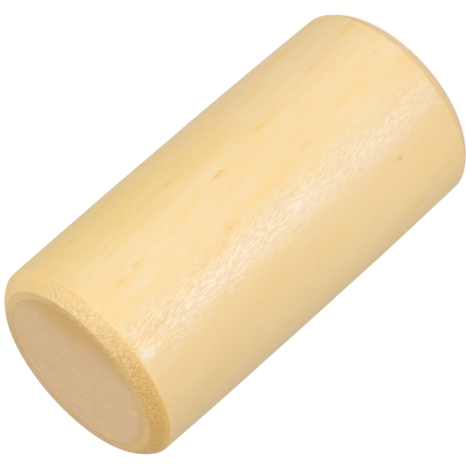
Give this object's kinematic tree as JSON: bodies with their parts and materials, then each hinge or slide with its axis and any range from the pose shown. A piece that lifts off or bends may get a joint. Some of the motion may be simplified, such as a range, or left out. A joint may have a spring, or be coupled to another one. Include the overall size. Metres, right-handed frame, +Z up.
{
  "type": "wooden shaker",
  "caption": "Turned wooden hand shaker: a hollow tube with bevelled rims, a wooden disc glued into each end, and loose metal pellets that rattle inside.",
  "frame": {"origin": "middle of the foot, on the plane that the lower rim stands on", "axes": "+Z up along the tube's axis, from the foot to the end that is nearer in the picture; the part is round, so X and Y are any two directions across it"},
  "size_m": [0.0508, 0.0508, 0.1016],
  "materials": {
    "body_wood": "satin clear lacquer over pale wood",
    "disc_wood": "thin matt lacquer over darker, fine-grained board",
    "pellet_metal": "dull, tumbled"
  },
  "bodies": {
    "shell": {"turned_body": "body_wood", "bottom_end_disc": "disc_wood", "top_end_disc": "disc_wood"},
    "loose_pellet_01": {"pellet_01": "pellet_metal"},
    "loose_pellet_02": {"pellet_02": "pellet_metal"},
    "loose_pellet_03": {"pellet_03": "pellet_metal"},
    "loose_pellet_04": {"pellet_04": "pellet_metal"},
    "loose_pellet_05": {"pellet_05": "pellet_metal"},
    "loose_pellet_06": {"pellet_06": "pellet_metal"},
    "loose_pellet_07": {"pellet_07": "pellet_metal"},
    "loose_pellet_08": {"pellet_08": "pellet_metal"},
    "loose_pellet_09": {"pellet_09": "pellet_metal"},
    "loose_pellet_10": {"pellet_10": "pellet_metal"},
    "loose_pellet_11": {"pellet_11": "pellet_metal"},
    "loose_pellet_12": {"pellet_12": "pellet_metal"},
    "loose_pellet_13": {"pellet_13": "pellet_metal"},
    "loose_pellet_14": {"pellet_14": "pellet_metal"},
    "loose_pellet_15": {"pellet_15": "pellet_metal"},
    "loose_pellet_16": {"pellet_16": "pellet_metal"},
    "loose_pellet_17": {"pellet_17": "pellet_metal"},
    "loose_pellet_18": {"pellet_18": "pellet_metal"},
    "loose_pellet_19": {"pellet_19": "pellet_metal"}
  },
  "joints": [
    {"name": "pellet_01_slide", "type": "slide", "parent": "shell", "child": "loose_pellet_01", "axis": [0, 0, 1], "range_m": [0, 0.0859]},
    {"name": "pellet_02_slide", "type": "slide", "parent": "shell", "child": "loose_pellet_02", "axis": [0, 0, 1], "range_m": [0, 0.0859]},
    {"name": "pellet_03_slide", "type": "slide", "parent": "shell", "child": "loose_pellet_03", "axis": [0, 0, 1], "range_m": [0, 0.0859]},
    {"name": "pellet_04_slide", "type": "slide", "parent": "shell", "child": "loose_pellet_04", "axis": [0, 0, 1], "range_m": [0, 0.0859]},
    {"name": "pellet_05_slide", "type": "slide", "parent": "shell", "child": "loose_pellet_05", "axis": [0, 0, 1], "range_m": [0, 0.0859]},
    {"name": "pellet_06_slide", "type": "slide", "parent": "shell", "child": "loose_pellet_06", "axis": [0, 0, 1], "range_m": [0, 0.0859]},
    {"name": "pellet_07_slide", "type": "slide", "parent": "shell", "child": "loose_pellet_07", "axis": [0, 0, 1], "range_m": [0, 0.0859]},
    {"name": "pellet_08_slide", "type": "slide", "parent": "shell", "child": "loose_pellet_08", "axis": [0, 0, 1], "range_m": [0, 0.0859]},
    {"name": "pellet_09_slide", "type": "slide", "parent": "shell", "child": "loose_pellet_09", "axis": [0, 0, 1], "range_m": [0, 0.0859]},
    {"name": "pellet_10_slide", "type": "slide", "parent": "shell", "child": "loose_pellet_10", "axis": [0, 0, 1], "range_m": [0, 0.0859]},
    {"name": "pellet_11_slide", "type": "slide", "parent": "shell", "child": "loose_pellet_11", "axis": [0, 0, 1], "range_m": [0, 0.0859]},
    {"name": "pellet_12_slide", "type": "slide", "parent": "shell", "child": "loose_pellet_12", "axis": [0, 0, 1], "range_m": [0, 0.0859]},
    {"name": "pellet_13_slide", "type": "slide", "parent": "shell", "child": "loose_pellet_13", "axis": [0, 0, 1], "range_m": [0, 0.0859]},
    {"name": "pellet_14_slide", "type": "slide", "parent": "shell", "child": "loose_pellet_14", "axis": [0, 0, 1], "range_m": [0, 0.0859]},
    {"name": "pellet_15_slide", "type": "slide", "parent": "shell", "child": "loose_pellet_15", "axis": [0, 0, 1], "range_m": [0, 0.0859]},
    {"name": "pellet_16_slide", "type": "slide", "parent": "shell", "child": "loose_pellet_16", "axis": [0, 0, 1], "range_m": [0, 0.0859]},
    {"name": "pellet_17_slide", "type": "slide", "parent": "shell", "child": "loose_pellet_17", "axis": [0, 0, 1], "range_m": [0, 0.0859]},
    {"name": "pellet_18_slide", "type": "slide", "parent": "shell", "child": "loose_pellet_18", "axis": [0, 0, 1], "range_m": [0, 0.0859]},
    {"name": "pellet_19_slide", "type": "slide", "parent": "shell", "child": "loose_pellet_19", "axis": [0, 0, 1], "range_m": [0, 0.0859]}
  ]
}
